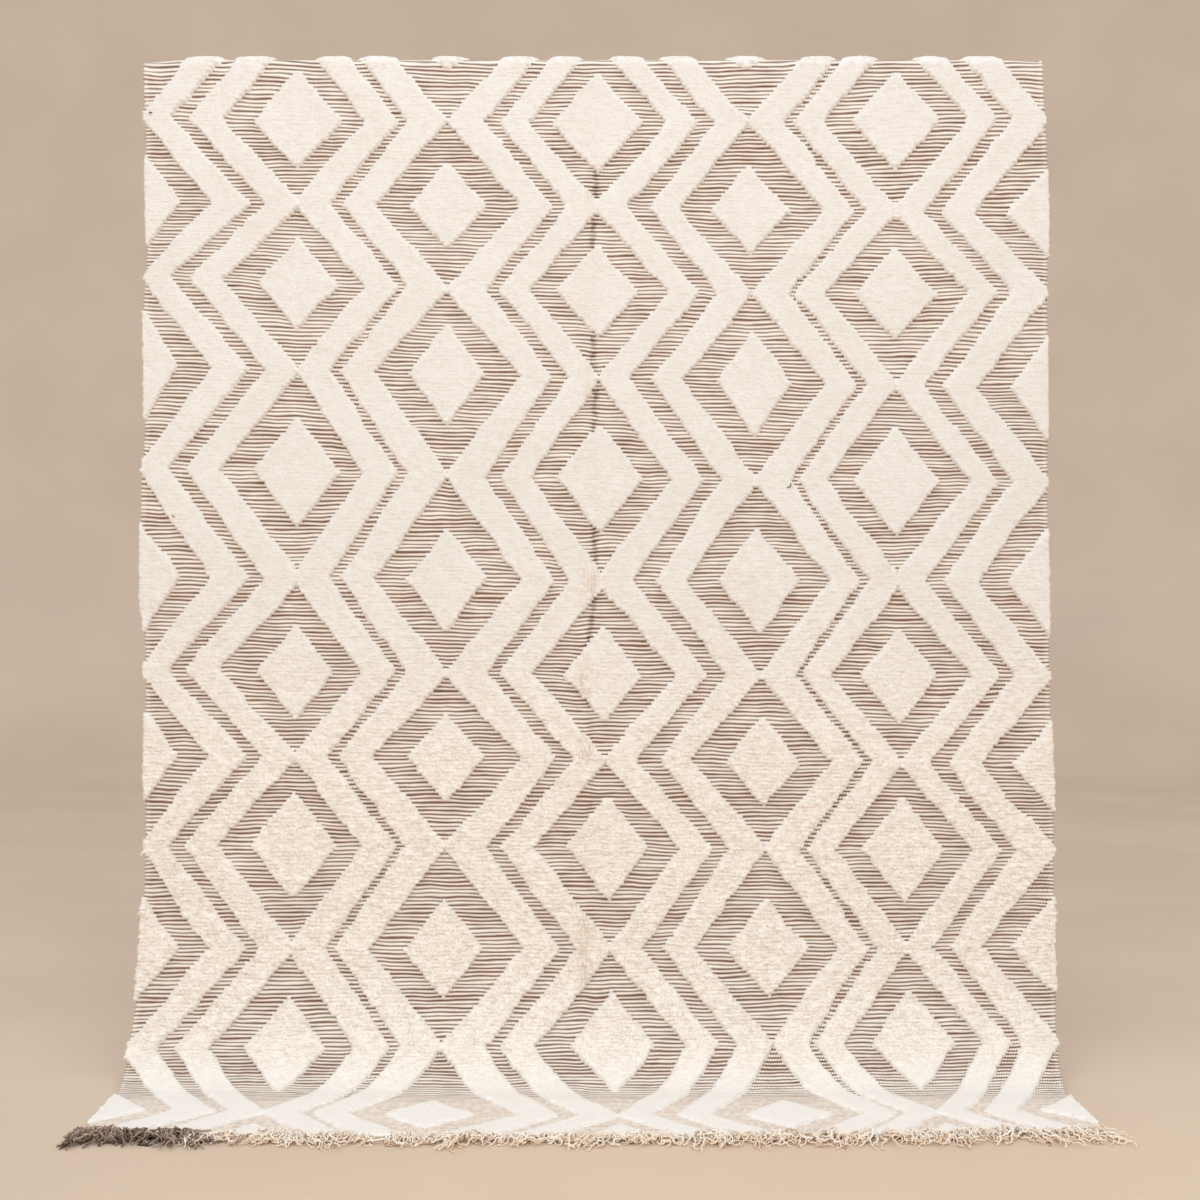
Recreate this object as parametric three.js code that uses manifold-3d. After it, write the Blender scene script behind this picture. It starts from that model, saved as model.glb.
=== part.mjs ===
// Berber kilim rug with raised wool pile, hung over a bar and swept forward over the floor.
// Millimetres, +Z up, the floor at z = 0. The pile side faces -Y and its left selvedge is at -X.
import * as THREE from 'three';
import { mergeVertices } from 'three/addons/utils/BufferGeometryUtils.js';
import Module from 'manifold-3d';

// The cloth, laid flat
const WIDTH = 2000; // between the selvedges
const LENGTH = 3000; // woven length down the middle, without the fringe
const GROUND = 5; // flat-woven ground
const PILE = 12; // cut wool pile above the ground
const PILE_EDGE = 4; // breadth of the slope at the pile's edge
const PILE_WAVES = { height: 1.2, across: 45, down: 38 }; // unevenness of the pile and its scale
const OVERHANG = 6; // pile that leans out past a selvedge

// The way it hangs
const BAR_SPACE = 24; // clear space inside the fold
const CREST = 2243; // underside of the fold above the floor
const LEAN = { forward: 37, height: 420 }; // where the hanging part starts to sweep forward
const SWEEP = { drop: 270, ease: 8, draw: 100 }; // handles of the sweep: at its start, on the floor
const TOUCHDOWN = 210; // forward reach where the underside meets the floor
const REACH = 460; // forward reach of the woven end, in its middle
const END_SHORT = { left: 35, right: 51 }; // how much sooner the cloth ends at its corners
const HANG_Y = 254; // the fold's front layer, so that the origin is under the middle of the box

// The raised pattern
const POINT_WITHIN = 0.5; // a half breadth below this is a point
const EDGE_PASSES = 4; // rounds of finding a slanting edge along a slanting line

// Rows where the bands turn, measured down the cloth from the crest. Lozenges stand on even columns
// in the first row and on odd ones in the next, by turns. A crossing is pile over its half height.
const ROWS = [
  { left: -430, middle: -430, right: -430, halfWidth: 88, halfHeight: 96, crossing: 8 },
  { left: -240, middle: -234, right: -238, halfWidth: 88, halfHeight: 98, crossing: 8 },
  { left: -66, middle: -38, right: -60, halfWidth: 86, halfHeight: 88, crossing: 4 },
  { left: 120, middle: 148, right: 137, halfWidth: 97, halfHeight: 110, crossing: 3 },
  { left: 315, middle: 338, right: 350, halfWidth: 86, halfHeight: 95, crossing: 10 },
  { left: 489, middle: 525, right: 541, halfWidth: 89, halfHeight: 100, crossing: 3 },
  { left: 686, middle: 716, right: 738, halfWidth: 80, halfHeight: 117, crossing: 7 },
  { left: 911, middle: 937, right: 943, halfWidth: 93, halfHeight: 120, crossing: 5 },
  { left: 1156, middle: 1162, right: 1166, halfWidth: 88, halfHeight: 113, crossing: 18 },
  { left: 1344, middle: 1369, right: 1364, halfWidth: 82, halfHeight: 104, crossing: 5 },
  { left: 1542, middle: 1555, right: 1570, halfWidth: 82, halfHeight: 98, crossing: 5 },
  { left: 1745, middle: 1748, right: 1757, halfWidth: 89, halfHeight: 114, crossing: 4 },
  { left: 1956, middle: 1970, right: 1954, halfWidth: 86, halfHeight: 104, crossing: 10 },
  { left: 2186, middle: 2178, right: 2170, halfWidth: 88, halfHeight: 112, crossing: 5 },
  { left: 2434, middle: 2441, right: 2436, halfWidth: 82, halfHeight: 82, crossing: 8 },
  { left: 2602, middle: 2604, right: 2602, halfWidth: 92, halfHeight: 105, crossing: 10 },
];

// Columns of lozenges, across from the middle line at the top, halfway down and at the foot. On a
// lozenge's own row the ground round it reaches so far left and right of the column's line, and a
// band of pile lies outside it. Where its bands cross, between rows, they reach so far both ways.
// The cloth stands proud of a plane on some columns: the ridge in the middle is an old crease.
const COLUMNS = [
  { top: -1000, halfway: -1000, foot: -1000, left: 157, right: 157, band: 83, crossing: 59, proud: 3 },
  { top: -658, halfway: -656, foot: -670, left: 168, right: 148, band: 75, crossing: 71, proud: 0 },
  { top: -326, halfway: -325, foot: -333, left: 162, right: 166, band: 72, crossing: 87, proud: 2 },
  { top: 6, halfway: 18, foot: 52, left: 156, right: 161, band: 69, crossing: 67, proud: 9 },
  { top: 338, halfway: 364, foot: 394, left: 161, right: 155, band: 66, crossing: 76, proud: 1 },
  { top: 670, halfway: 669, foot: 700, left: 151, right: 161, band: 63, crossing: 61, proud: 4 },
  { top: 1000, halfway: 1000, foot: 1000, left: 157, right: 157, band: 72, crossing: 76, proud: 1 },
];
const PATTERN_MIDDLE = 1250; // how far down the cloth halfway is
const PROUD_FROM = 150; // the crease opens out below the bar
const PROUD_TO = 2150; // and is pressed flat again where the cloth sweeps to the floor
const PROUD_FADE = 300;

// How far each selvedge strays to the right of its straight line, down the cloth
const SELVEDGES = [
  { down: -200, left: 0, right: 0 },
  { down: 0, left: 0, right: -4 },
  { down: 250, left: 8, right: 5 },
  { down: 700, left: 5, right: 2 },
  { down: 950, left: -3, right: 0 },
  { down: 1300, left: 11, right: 3 },
  { down: 1750, left: 15, right: 10 },
  { down: 2050, left: 7, right: 6 },
  { down: 2280, left: -4, right: -5 },
  { down: 2480, left: 0, right: 0 },
];
const STRAY_BREADTH = 100; // only this much of the cloth strays with its selvedge

// Extra lines across the cloth where it bends: {from, to, steps} down the cloth
const BENDS = [
  { from: -19, to: 19, steps: 6 },
  { from: 2020, to: 2120, steps: 1 },
  { from: 2212, to: 2270, steps: 2 },
];

// The fringe: the warp ends, fused in a narrow strip beside the cloth's end
const STRIP = { gap: 0.3, depth: 7, height: 5, step: 75 };
const LOCK = { pitch: 16, width: 12, height: 9, length: 58, uneven: 26, root: 3 };
const LOCK_RINGS = [
  { along: 0, size: 1 },
  { along: 0.38, size: 0.92 },
  { along: 0.72, size: 0.62 },
];
const LOCK_TIP = { width: 2.4, height: 1.6 };
const DRAWN = { corner: 34, keenness: 8, middle: 19, over: 72, curl: 1.5 }; // sideways pull of a lock
const GREY_BREADTH = 228; // the dark warps at the left corner

const PILE_COLOUR = 0xefe4d4;
const CREAM = 0xe6cfb6;
const GREY = 0x5f554f;
const WOOL_ROUGHNESS = 0.95;
const POINT_STEP = 0.01; // points closer than this are one

const HALF = WIDTH / 2;
const FLAP = LENGTH - profileLength(); // the part behind the bar, from the crest down
const profile = hangingProfile();

// A value that bends through its start, middle and end, with t from -1 to 1
function bent(start, middle, end, t) {
  return middle + ((end - start) / 2) * t + ((start + end) / 2 - middle) * t * t;
}

// Repeatable unevenness between -1 and 1: two crossing waves about 5 long, out of step
function ripple(x, y) {
  const [steep, shallow] = [1.3, 0.5];
  return (Math.sin(x * steep + y * shallow) + Math.sin(x * shallow - y * steep + 2)) / 2;
}

// The visible half of the underside's path, from the crest to the woven end
function frontPath() {
  const radius = BAR_SPACE / 2;
  const path = new THREE.CurvePath();
  const shoulder = new THREE.Vector2(0, CREST - radius);
  const bend = new THREE.Vector2(LEAN.forward, LEAN.height);
  const down = new THREE.Vector2(TOUCHDOWN, 0);
  path.add(new THREE.EllipseCurve(-radius, CREST - radius, radius, radius, Math.PI / 2, 0, true));
  path.add(new THREE.LineCurve(shoulder, bend));
  path.add(
    new THREE.CubicBezierCurve(
      bend,
      new THREE.Vector2(LEAN.forward + SWEEP.ease, LEAN.height - SWEEP.drop),
      new THREE.Vector2(TOUCHDOWN - SWEEP.draw, 0),
      down,
    ),
  );
  path.add(new THREE.LineCurve(down, new THREE.Vector2(REACH, 0)));
  return path;
}

function profileLength() {
  return frontPath().getLength();
}

// The whole path of the underside, from the flap's lower end over the bar and down to the foot
function hangingProfile() {
  const radius = BAR_SPACE / 2;
  const quarter = (Math.PI / 2) * radius;
  const path = new THREE.CurvePath();
  const flapEnd = new THREE.Vector2(-BAR_SPACE, CREST - radius - (FLAP - quarter));
  path.add(new THREE.LineCurve(flapEnd, new THREE.Vector2(-BAR_SPACE, CREST - radius)));
  path.add(new THREE.EllipseCurve(-radius, CREST - radius, radius, radius, Math.PI, Math.PI / 2, true));
  for (const curve of frontPath().curves) path.add(curve);
  return path;
}

function columnAt(column, down) {
  const { top, halfway, foot } = COLUMNS[column];
  return bent(top, halfway, foot, down / PATTERN_MIDDLE - 1);
}

function rowAt(row, across) {
  const { left, middle, right } = ROWS[row];
  return bent(left, middle, right, across / HALF);
}

// Where the woven end lies, down the cloth from the crest
function endAt(across) {
  const full = LENGTH - FLAP;
  return bent(full - END_SHORT.left, full, full - END_SHORT.right, across / HALF);
}

// How far the cloth stands out of its plane, straight from one column to the next
function proudAt(across, down) {
  const rise = THREE.MathUtils.smoothstep(down, PROUD_FROM, PROUD_FROM + PROUD_FADE);
  const fall = THREE.MathUtils.smoothstep(down, PROUD_TO - PROUD_FADE, PROUD_TO);
  let column = 0;
  while (column < COLUMNS.length - 2 && across > columnAt(column + 1, down)) column += 1;
  const from = columnAt(column, down);
  const to = columnAt(column + 1, down);
  const share = THREE.MathUtils.clamp((across - from) / (to - from), 0, 1);
  const proud = THREE.MathUtils.lerp(COLUMNS[column].proud, COLUMNS[column + 1].proud, share);
  return proud * rise * (1 - fall);
}

// How far a place near a selvedge strays with it
function strayAt(across, down) {
  const side = across < 0 ? 'left' : 'right';
  const below = SELVEDGES.findIndex((place) => place.down > down);
  if (below <= 0) return 0;
  const [from, to] = [SELVEDGES[below - 1], SELVEDGES[below]];
  const along = THREE.MathUtils.smoothstep(down, from.down, to.down);
  const nearEdge = THREE.MathUtils.smoothstep(Math.abs(across), HALF - STRAY_BREADTH, HALF);
  return THREE.MathUtils.lerp(from[side], to[side], along) * nearEdge;
}

// A place on the hung cloth: across and down it, and raised above its underside
function hung(across, down, raised) {
  const share = THREE.MathUtils.clamp((down + FLAP) / LENGTH, 0, 1);
  const point = profile.getPointAt(share);
  const tangent = profile.getTangentAt(share);
  const lift = raised + proudAt(across, down);
  const forward = point.x - tangent.y * lift;
  const height = point.y + tangent.x * lift;
  return new THREE.Vector3(across + strayAt(across, down), HANG_Y - forward, height);
}

// Half breadths of the lozenge, the ground round it and the band round that, at a point of a strip
// between two rows. Below zero the lozenge or the ground has already come to its point.
function halves(row, column, side, across, down) {
  const start = rowAt(row, across);
  const pitch = rowAt(row + 1, across) - start;
  const lozengeFirst = (row + column) % 2 === 0;
  const away = lozengeFirst ? (down - start) / pitch : 1 - (down - start) / pitch;
  const own = ROWS[lozengeFirst ? row : row + 1];
  const other = ROWS[lozengeFirst ? row + 1 : row];
  const { left, right, band, crossing } = COLUMNS[column];
  const ground = side < 0 ? left : right;
  return {
    towards: lozengeFirst ? -1 : 1,
    lozenge: own.halfWidth * (1 - (away * pitch) / own.halfHeight),
    ground: ground * (1 - (away * pitch) / (pitch - other.crossing)),
    band: THREE.MathUtils.lerp(ground + band, crossing, away),
  };
}

// Lines across the cloth, each a height for every column: on each row, at the points of the lozenges
// and of the ground between the bands, and in the bends
function linesAcross() {
  const lines = [];
  const everyColumn = (row, heightAt) => {
    lines.push({ row, downs: COLUMNS.map((_, column) => heightAt(column)) });
  };
  const across = (row, column) => columnAt(column, ROWS[row].middle);
  const bends = BENDS.flatMap(({ from, to, steps }) =>
    Array.from({ length: steps + 1 }, (_, i) => from + ((to - from) * i) / steps),
  );
  for (let row = 0; row < ROWS.length - 1; row += 1) {
    const above = ROWS[row];
    const below = ROWS[row + 1];
    const last = row === ROWS.length - 2;
    everyColumn(row, (c) => rowAt(row, across(row, c)));
    everyColumn(row, (c) => rowAt(row, across(row, c)) + above.crossing);
    everyColumn(row, (c) =>
      (row + c) % 2 === 0
        ? rowAt(row, across(row, c)) + above.halfHeight
        : rowAt(row + 1, across(row, c)) - below.halfHeight,
    );
    if (last) everyColumn(row, (c) => endAt(columnAt(c, LENGTH - FLAP)));
    else everyColumn(row, (c) => rowAt(row + 1, across(row, c)) - below.crossing);
    for (const bend of bends) {
      if (bend > above.middle && bend < below.middle) everyColumn(row, () => bend);
    }
  }
  const middle = (line) => line.downs[(COLUMNS.length - 1) / 2];
  return lines.sort((a, b) => middle(a) - middle(b));
}

// The points of one line on one side of a column, from its centre outwards. A lozenge or the ground
// round it comes to its point on a line of its own, with the inner height a little short of the outer.
function sidePoints(line, column, side) {
  const { row, downs } = line;
  const centre = columnAt(column, downs[column]);
  const gap = Math.abs(columnAt(column + side, downs[column + side]) - centre);
  const breadth = gap / Math.abs(COLUMNS[column + side].halfway - COLUMNS[column].halfway);
  const onSelvedge = column === 0 || column === COLUMNS.length - 1 ? -side : 0;
  const high = GROUND + PILE;
  const half = PILE_EDGE / 2;

  const downAt = (offset) => THREE.MathUtils.lerp(downs[column], downs[column + side], offset / gap);
  const halvesAt = (offset) => halves(row, column, side, centre + side * offset, downAt(offset));
  const at = (offset, raised, shift = 0) => ({
    across: centre + side * offset,
    down: downAt(offset) + shift,
    raised,
    selvedge: offset === 0 ? onSelvedge : 0,
  });
  const edgeOf = (part, stretch = 1) => {
    let offset = halvesAt(0)[part] * stretch;
    for (let pass = 0; pass < EDGE_PASSES; pass += 1) offset = halvesAt(offset)[part] * stretch;
    return offset;
  };

  const here = halvesAt(0);
  const state = (value) => (Math.abs(value) < POINT_WITHIN ? 0 : Math.sign(value));
  const lozenge = state(here.lozenge);
  const ground = state(here.ground);
  const inward = here.towards * PILE_EDGE;

  let middle = at(0, GROUND);
  if (ground < 0 || lozenge > 0) middle = at(0, high);
  else if (ground === 0) middle = at(0, GROUND, inward);
  else if (lozenge === 0) middle = at(0, high, inward);

  const points = [middle];
  if (lozenge > 0) {
    const edge = edgeOf('lozenge');
    points.push(edge > half ? at(edge - half, high) : middle, at(edge + half, GROUND));
  } else {
    points.push(middle, lozenge === 0 ? at(0, GROUND) : middle);
  }
  if (ground > 0) {
    const edge = edgeOf('ground', breadth);
    points.push(edge > half ? at(edge - half, GROUND) : middle, at(edge + half, high));
  } else {
    points.push(middle, ground === 0 ? at(0, high) : middle);
  }
  const edge = edgeOf('band', breadth);
  points.push(at(edge - half, high), at(edge + half, GROUND));
  return points;
}

// All the points of one line, from selvedge to selvedge
function pointsOf(line) {
  const points = [];
  const last = COLUMNS.length - 1;
  COLUMNS.forEach((_, column) => {
    if (column > 0) points.push(...sidePoints(line, column, -1).reverse());
    if (column < last) {
      const right = sidePoints(line, column, 1);
      points.push(...(column > 0 ? right.slice(1) : right));
    }
  });
  return points;
}

// A mesh in the making: points kept once each, and triangles that drop out where they have no area
// or lie back to back
class Net {
  points = [];
  keys = new Map();
  triangles = new Map();

  add(point) {
    const { across, down, raised } = point;
    const key = [across, down, raised].map((value) => Math.round(value / POINT_STEP)).join();
    if (!this.keys.has(key)) {
      this.keys.set(key, this.points.length);
      this.points.push(point);
    }
    return this.keys.get(key);
  }

  triangle(a, b, c) {
    if (a === b || b === c || c === a) return;
    const least = Math.min(a, b, c);
    const [x, y, z] = a === least ? [a, b, c] : b === least ? [b, c, a] : [c, a, b];
    if (!this.triangles.delete([x, z, y].join())) this.triangles.set([x, y, z].join(), [x, y, z]);
  }

  quad(a, b, c, d) {
    this.triangle(a, b, c);
    this.triangle(a, c, d);
  }

  // Joins two chains of points that run side by side, both in the order of one measure. Where they
  // are level the first chain goes ahead. A turned bridge faces the other way.
  bridge(first, second, measure, turned = false) {
    const along = (index) => this.points[index][measure];
    const face = (a, b, c) => (turned ? this.triangle(a, c, b) : this.triangle(a, b, c));
    let i = 0;
    let j = 0;
    while (i < first.length - 1 || j < second.length - 1) {
      const firstAhead =
        j === second.length - 1 ||
        (i < first.length - 1 && along(first[i + 1]) <= along(second[j + 1]));
      if (firstAhead) {
        face(first[i], first[i + 1], second[j]);
        i += 1;
      } else {
        face(first[i], second[j + 1], second[j]);
        j += 1;
      }
    }
  }
}

// The pile side's points on one selvedge, in order down the cloth
function selvedgeChain(net, lines, side) {
  return lines.flatMap((line) => {
    const points = [...new Set(line)].filter((index) => net.points[index].selvedge === side);
    return points.sort((a, b) => net.points[a].down - net.points[b].down);
  });
}

function rugGeometry() {
  const net = new Net();
  const lines = linesAcross();
  const end = lines.length - 1;
  const front = lines.map((line) => pointsOf(line).map((point) => net.add(point)));
  const back = lines.map(({ downs }, i) =>
    i === 0 || i === end
      ? front[i].map((index) => net.add({ ...net.points[index], raised: 0, selvedge: 0 }))
      : downs.map((down, c) => net.add({ across: columnAt(c, down), down, raised: 0, selvedge: 0 })),
  );
  const left = selvedgeChain(net, front, -1);
  const right = selvedgeChain(net, front, 1);
  const edges = [new Set(left), new Set(right)];

  for (let i = 0; i < end; i += 1) {
    const [upper, lower] = [front[i], front[i + 1]];
    for (let k = 0; k < upper.length - 1; k += 1) {
      const corners = [upper[k], lower[k], lower[k + 1], upper[k + 1]];
      const flatOnEdge = edges.some((edge) => corners.every((corner) => edge.has(corner)));
      if (!flatOnEdge) net.quad(...corners);
    }
    net.bridge(back[i], back[i + 1], 'across');
  }
  for (let k = 0; k < front[0].length - 1; k += 1) {
    net.quad(front[0][k], front[0][k + 1], back[0][k + 1], back[0][k]);
    net.quad(back[end][k], back[end][k + 1], front[end][k + 1], front[end][k]);
  }
  net.bridge(back.map((points) => points[0]), left, 'down');
  net.bridge(back.map((points) => points[points.length - 1]), right, 'down', true);

  const positions = net.points.flatMap(({ across, down, raised, selvedge }) => {
    if (raised <= GROUND) return hung(across, down, raised).toArray();
    const wave = PILE_WAVES.height * ripple(across / PILE_WAVES.across, down / PILE_WAVES.down);
    return hung(across + selvedge * OVERHANG, down, raised + wave).toArray();
  });
  const geometry = new THREE.BufferGeometry();
  geometry.setAttribute('position', new THREE.Float32BufferAttribute(positions, 3));
  geometry.setIndex([...net.triangles.values()].flat());
  return geometry;
}

// Forward reach of the woven end on the floor
function endReach(across) {
  return REACH - (LENGTH - FLAP - endAt(across));
}

// A closed tube through rings of points that all have the same number of corners
function ringsGeometry(rings) {
  const sides = rings[0].length;
  const index = [];
  for (let i = 0; i < rings.length - 1; i += 1) {
    for (let k = 0; k < sides; k += 1) {
      const next = (k + 1) % sides;
      const [a, b] = [i * sides + k, i * sides + next];
      index.push(a, b, b + sides, a, b + sides, a + sides);
    }
  }
  const last = (rings.length - 1) * sides;
  for (let k = 1; k < sides - 1; k += 1) {
    index.push(0, k + 1, k, last, last + k, last + k + 1);
  }
  const geometry = new THREE.BufferGeometry();
  geometry.setAttribute('position', new THREE.Float32BufferAttribute(rings.flat(2), 3));
  geometry.setIndex(index);
  return mergeVertices(geometry);
}

// The strip that holds the roots, following the cloth's end between two places across it
function stripGeometry(from, to) {
  const steps = Math.max(2, Math.round((to - from) / STRIP.step));
  const rings = [];
  for (let i = 0; i <= steps; i += 1) {
    const across = THREE.MathUtils.lerp(from, to, i / steps);
    const near = HANG_Y - endReach(across) - STRIP.gap;
    const far = near - STRIP.depth;
    rings.push([
      [across, near, 0],
      [across, near, STRIP.height],
      [across, far, STRIP.height],
      [across, far, 0],
    ]);
  }
  return ringsGeometry(rings);
}

// One tapering lock of yarn, three-sided with a flat side down, drawn aside with its neighbours
function lockGeometry(across, number) {
  const root = HANG_Y - endReach(across) - STRIP.gap - STRIP.depth + LOCK.root;
  const length = LOCK.root + LOCK.length + LOCK.uneven * ripple(number * 2, 0);
  const outwards = Math.sign(across) * Math.abs(across / HALF) ** DRAWN.keenness;
  const drawn = DRAWN.corner * outwards + DRAWN.middle * ripple(across / DRAWN.over, 0);
  const place = (along) => [across + drawn * along ** DRAWN.curl, root - length * along];
  const rings = LOCK_RINGS.map(({ along, size }) => {
    const [x, y] = place(along);
    const half = (LOCK.width * size) / 2;
    return [
      [x - half, y, 0],
      [x + half, y, 0],
      [x, y, LOCK.height * size],
    ];
  });
  const [x, y] = place(1);
  const half = LOCK_TIP.width / 2;
  rings.push([[x - half, y, 0], [x + half, y, 0], [x, y, LOCK_TIP.height]]);
  return ringsGeometry(rings);
}

const wasm = await Module();
wasm.setup();

function solidOf(geometry) {
  const { position } = geometry.attributes;
  return new wasm.Manifold(
    new wasm.Mesh({
      numProp: 3,
      vertProperties: new Float32Array(position.array),
      triVerts: new Uint32Array(geometry.index.array),
    }),
  );
}

function geometryOf(solid) {
  const mesh = solid.getMesh();
  const geometry = new THREE.BufferGeometry();
  geometry.setAttribute('position', new THREE.Float32BufferAttribute(mesh.vertProperties, 3));
  geometry.setIndex([...mesh.triVerts]);
  return geometry;
}

// The strip and its locks, joined into one solid
function fringeGeometry(from, to) {
  const count = Math.round((to - from) / LOCK.pitch);
  const pitch = (to - from) / count;
  let solid = solidOf(stripGeometry(from, to));
  for (let i = 0; i < count; i += 1) {
    solid = solid.add(solidOf(lockGeometry(from + (i + 0.5) * pitch, i)));
  }
  return geometryOf(solid);
}

function piece(name, geometry, colour) {
  geometry.computeVertexNormals();
  const look = { color: colour, roughness: WOOL_ROUGHNESS, metalness: 0 };
  const mesh = new THREE.Mesh(geometry, new THREE.MeshStandardMaterial(look));
  mesh.name = name;
  return mesh;
}

const rug = new THREE.Group();
const greyEnd = -HALF + GREY_BREADTH;
rug.add(piece('rug', rugGeometry(), PILE_COLOUR));
rug.add(piece('fringe_grey', fringeGeometry(-HALF, greyEnd), GREY));
rug.add(piece('fringe_cream', fringeGeometry(greyEnd + STRIP.gap, HALF), CREAM));

export default rug;
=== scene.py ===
from math import pi, tau

import bpy
import numpy as np
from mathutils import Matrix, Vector


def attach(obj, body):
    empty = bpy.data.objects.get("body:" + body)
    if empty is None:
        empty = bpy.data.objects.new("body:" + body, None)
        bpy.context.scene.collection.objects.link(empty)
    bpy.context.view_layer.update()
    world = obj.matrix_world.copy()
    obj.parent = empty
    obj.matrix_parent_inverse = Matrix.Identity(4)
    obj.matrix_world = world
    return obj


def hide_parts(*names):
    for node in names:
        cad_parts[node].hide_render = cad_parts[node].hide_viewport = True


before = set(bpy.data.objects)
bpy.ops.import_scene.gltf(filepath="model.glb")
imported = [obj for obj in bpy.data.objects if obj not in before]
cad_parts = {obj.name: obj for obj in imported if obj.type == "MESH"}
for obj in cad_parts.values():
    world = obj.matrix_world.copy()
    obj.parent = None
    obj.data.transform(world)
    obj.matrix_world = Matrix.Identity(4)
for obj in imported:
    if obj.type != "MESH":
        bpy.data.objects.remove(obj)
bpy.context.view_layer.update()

# The rug is seen face on from a little under half its height, by a level camera
# that stands 3.56 m in front of the hanging part.
HANG_Y = 0.254  # where the front hangs from the fold
SEEN_FROM = (0.0133, HANG_Y - 3.556, 1.045)
LENS = 48  # in millimetres, as is the breadth of the frame that it fills
FRAME_BREADTH = 36

camera = bpy.data.objects.new("camera", bpy.data.cameras.new("camera"))
camera.data.lens = LENS
camera.data.sensor_width = FRAME_BREADTH
camera.location = SEEN_FROM
camera.rotation_euler = (pi / 2, 0, 0)
bpy.context.collection.objects.link(camera)
bpy.context.scene.camera = camera


# A plain pale floor, which curves up into its own backdrop all round, under a wide soft
# light in front and a weaker one overhead.
FLOOR_RADIUS = 6.5
FLOOR_MIDDLE = 0.01  # radius of the floor's innermost ring
FLOOR_BELOW = 0.0006  # the floor lies this much under the rug
FLOOR_TURNS = 96
FLOOR_RINGS = 40
FLOOR_COLOUR = (0.700, 0.560, 0.440)
BACKDROP_HEIGHT = 6.0
BACKDROP_OUT = 0.5  # how far out the backdrop leans, as a share of its height
BACKDROP_COLOUR = (0.740, 0.610, 0.500)
BACKDROP_FROM = (0.02, 0.9)  # height over which the floor's colour turns into the backdrop's
CLOUDS = (0.965, 1.035)  # how dark and how light the floor is in patches
LIGHT_COLOUR = (0.955, 0.985, 1.0)
ROOM_COLOUR = (0.93, 0.975, 1.0, 1)
ROOM_LIGHT = 0.87


class Socket:
    """A node's socket. Python's operators on it add Math nodes to the same material."""

    def __init__(self, tree, plug=None):
        self.tree = tree
        self.plug = plug

    def node(self, kind, settings=None, sockets=None, out=0):
        """Adds any other node: its type, its settings, and the values or links of its sockets."""
        made = self.tree.nodes.new("ShaderNode" + kind)
        for name, value in (settings or {}).items():
            if name == "stops":
                for index, (place, colour) in enumerate(value):
                    ends = made.color_ramp.elements
                    stop = ends[index] if index < len(ends) else ends.new(place)
                    stop.position, stop.color = place, (*colour, 1)
            else:
                setattr(made, name, value)
        for name, value in (sockets or {}).items():
            if isinstance(value, Socket):
                self.tree.links.new(value.plug, made.inputs[name])
            else:
                made.inputs[name].default_value = value
        return Socket(self.tree, made.outputs[out] if len(made.outputs) else None)

    def math(self, operation, *values):
        return self.node("Math", {"operation": operation}, dict(enumerate(values)))

    def __add__(self, other):
        return self.math("ADD", self, other)

    def __sub__(self, other):
        return self.math("SUBTRACT", self, other)

    def __rsub__(self, other):
        return self.math("SUBTRACT", other, self)

    def __mul__(self, other):
        return self.math("MULTIPLY", self, other)

    __radd__ = __add__
    __rmul__ = __mul__


def finish_of(name):
    """A new material and an empty socket to start its nodes from."""
    material = bpy.data.materials.new(name)
    material.use_nodes = True
    material.node_tree.nodes.clear()
    return material, Socket(material.node_tree)


def surface(start, colour, roughness, normal=None, sheen=0.0):
    """Ends a material in a shader that is neither metal nor glass."""
    sockets = {"Roughness": roughness, "Base Color": colour, "Sheen Weight": sheen}
    sockets |= {"Specular IOR Level": 0.2, "Sheen Roughness": 0.6}
    if normal:
        sockets["Normal"] = normal
    shader = start.node("BsdfPrincipled", {}, sockets)
    start.node("OutputMaterial", {}, {"Surface": shader})


def noise(place, scale, detail=2.0):
    return place.node("TexNoise", {}, {"Vector": place, "Scale": scale, "Detail": detail})


def ramp(value, low, high, to_low=0.0, to_high=1.0):
    """A value taken smoothly from one range to another."""
    sockets = {"Value": value, "From Min": low, "From Max": high}
    sockets |= {"To Min": to_low, "To Max": to_high}
    return value.node("MapRange", {"interpolation_type": "SMOOTHSTEP"}, sockets)


def mixed(factor, first, second):
    """A colour between two others."""
    sockets = {0: factor, 6: first, 7: second}
    for place in (6, 7):
        if not isinstance(sockets[place], Socket):
            sockets[place] = (*sockets[place], 1)
    return factor.node("Mix", {"data_type": "RGBA"}, sockets, 2)


def mesh_object(name, points, faces, material):
    mesh = bpy.data.meshes.new(name)
    mesh.from_pydata(points, [], faces)
    mesh.polygons.foreach_set("use_smooth", np.ones(len(mesh.polygons), bool))
    mesh.materials.append(material)
    made = bpy.data.objects.new(name, mesh)
    bpy.context.collection.objects.link(made)
    return made


def sheet_faces(rows, columns):
    """Quads between neighbouring points of a net that is stored row by row."""
    corner = np.arange(rows - 1)[:, None] * columns + np.arange(columns - 1)
    return np.stack([corner, corner + columns, corner + columns + 1, corner + 1], -1).reshape(-1, 4)


def floor_finish():
    material, start = finish_of("floor")
    place = start.node("TexCoord", out=3)
    climb = ramp(place.node("SeparateXYZ", {}, {"Vector": place}, 2), *BACKDROP_FROM)
    cloudy = ramp(noise(place, 1.2, 3.0), 0.3, 0.7, *CLOUDS)
    colour = mixed(climb, FLOOR_COLOUR, BACKDROP_COLOUR)
    colour = start.node("VectorMath", {"operation": "SCALE"}, {0: colour, "Scale": cloudy})
    surface(start, colour, 0.9)
    return material


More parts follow.
